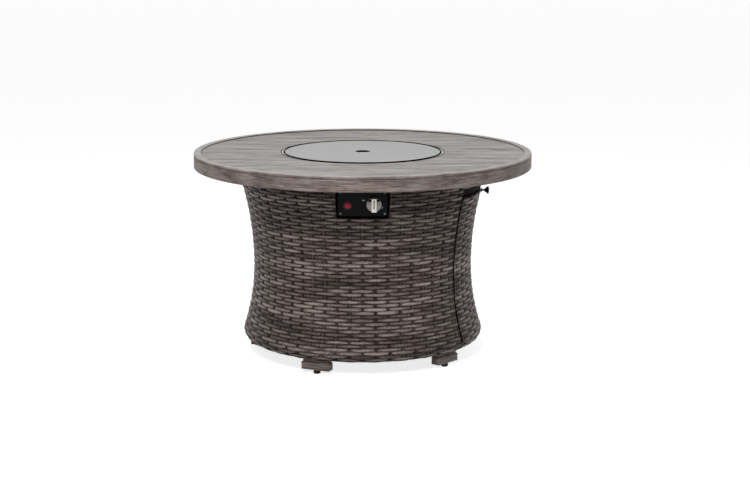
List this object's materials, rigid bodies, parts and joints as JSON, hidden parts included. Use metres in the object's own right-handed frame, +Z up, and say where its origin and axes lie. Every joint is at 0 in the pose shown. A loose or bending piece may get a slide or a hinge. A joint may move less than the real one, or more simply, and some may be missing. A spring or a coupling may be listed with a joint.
{
  "type": "fire pit table",
  "caption": "Round gas fire pit table with a wood-grain metal top, lift-off lid, flared wicker base, tilt-out tank door, control panel and levelling feet.",
  "frame": {"origin": "centre of the table's axis on the floor, at the underside of the glides", "axes": "+Z up along the table's axis, -Y towards the control panel, +X towards the tank door"},
  "size_m": [1.073, 1.073, 0.648],
  "materials": {
    "rim_metal": "wood-grain coated aluminium",
    "panel_metal": "weathered wood-grain coated aluminium",
    "lid_metal": "satin grey coated sheet",
    "seat_steel": "satin steel",
    "frame_metal": "brown powder coat",
    "zinc_steel": "zinc plated",
    "pan_steel": "satin stainless steel",
    "brass": "turned brass",
    "ceramic": "glazed ceramic with a wire tip",
    "copper_probe": "copper",
    "lead_rubber": "black sleeve",
    "wicker": "woven grey-brown resin strands",
    "tray_steel": "black coated steel",
    "foot_metal": "grey-brown coat",
    "glide_plastic": "black moulded plastic",
    "panel_black": "black powder coat",
    "screw_black": "blackened steel",
    "knob_chrome": "satin chrome",
    "igniter_plastic": "black plastic",
    "button_red": "red plastic",
    "pull_black": "black satin",
    "magnet_black": "black plastic over magnets"
  },
  "bodies": {
    "table": {"table_rim": "rim_metal", "table_panel": "panel_metal", "lid_seat": "seat_steel", "top_bearers": "frame_metal", "upper_ring": "frame_metal", "base_ring": "frame_metal", "frame_ribs": "frame_metal", "door_header": "frame_metal", "door_ears": "frame_metal", "top_bolts": "zinc_steel", "burner_pan": "pan_steel", "burner_ring": "pan_steel", "flame_shield": "pan_steel", "burner_nut": "brass", "air_mixer": "brass", "gas_tube": "brass", "inlet_fitting": "brass", "valve_body": "brass", "spark_electrode": "ceramic", "thermocouple": "copper_probe", "thermocouple_lead": "copper_probe", "igniter_lead": "lead_rubber", "wicker_body": "wicker", "tank_tray": "tray_steel", "tank_collar": "tray_steel", "foot_1": "foot_metal", "foot_2": "foot_metal", "foot_3": "foot_metal", "foot_4": "foot_metal", "foot_5": "foot_metal", "panel_box": "panel_black", "panel_face": "panel_black", "panel_screws": "screw_black", "igniter_body": "igniter_plastic", "igniter_nut": "igniter_plastic", "door_magnets": "magnet_black"},
    "lid": {"lid": "lid_metal"},
    "door": {"wicker_door": "wicker", "door_frame": "frame_metal", "door_knob": "pull_black", "door_pins": "zinc_steel", "door_strikes": "zinc_steel"},
    "plug": {"valve_plug": "brass"},
    "knob": {"valve_spindle": "knob_chrome", "control_knob": "knob_chrome"},
    "button": {"igniter_button": "button_red"},
    "glide_1": {"glide_1": "glide_plastic"},
    "glide_2": {"glide_2": "glide_plastic"},
    "glide_3": {"glide_3": "glide_plastic"},
    "glide_4": {"glide_4": "glide_plastic"},
    "glide_5": {"glide_5": "glide_plastic"}
  },
  "joints": [
    {"name": "lid_lift", "type": "slide", "parent": "table", "child": "lid", "axis": [0, 0, 1], "range_m": [0, 0.15]},
    {"name": "door_tilt", "type": "hinge", "parent": "table", "child": "door", "pos_m": [0.338, 0, 0.06], "axis": [0, 1, 0], "range_deg": [0, 35]},
    {"name": "knob_turn", "type": "hinge", "parent": "table", "child": "plug", "pos_m": [0.034, -0.388, 0.541], "axis": [0, -1, 0], "range_deg": [0, 180]},
    {"name": "knob_push", "type": "slide", "parent": "plug", "child": "knob", "axis": [0, 1, 0], "range_m": [0, 0.004], "stiffness_N_per_m": 500},
    {"name": "igniter_push", "type": "slide", "parent": "table", "child": "button", "axis": [0, 1, 0], "range_m": [0, 0.0045], "stiffness_N_per_m": 400},
    {"name": "glide_1_turn", "type": "hinge", "parent": "table", "child": "glide_1", "pos_m": [-0.14032, -0.31517, 0], "axis": [0, 0, 1], "continuous": true},
    {"name": "glide_2_turn", "type": "hinge", "parent": "table", "child": "glide_2", "pos_m": [0.25638, -0.23085, 0], "axis": [0, 0, 1], "continuous": true},
    {"name": "glide_3_turn", "type": "hinge", "parent": "table", "child": "glide_3", "pos_m": [0.29878, 0.1725, 0], "axis": [0, 0, 1], "continuous": true},
    {"name": "glide_4_turn", "type": "hinge", "parent": "table", "child": "glide_4", "pos_m": [-0.07173, 0.33746, 0], "axis": [0, 0, 1], "continuous": true},
    {"name": "glide_5_turn", "type": "hinge", "parent": "table", "child": "glide_5", "pos_m": [-0.34311, 0.03606, 0], "axis": [0, 0, 1], "continuous": true}
  ]
}
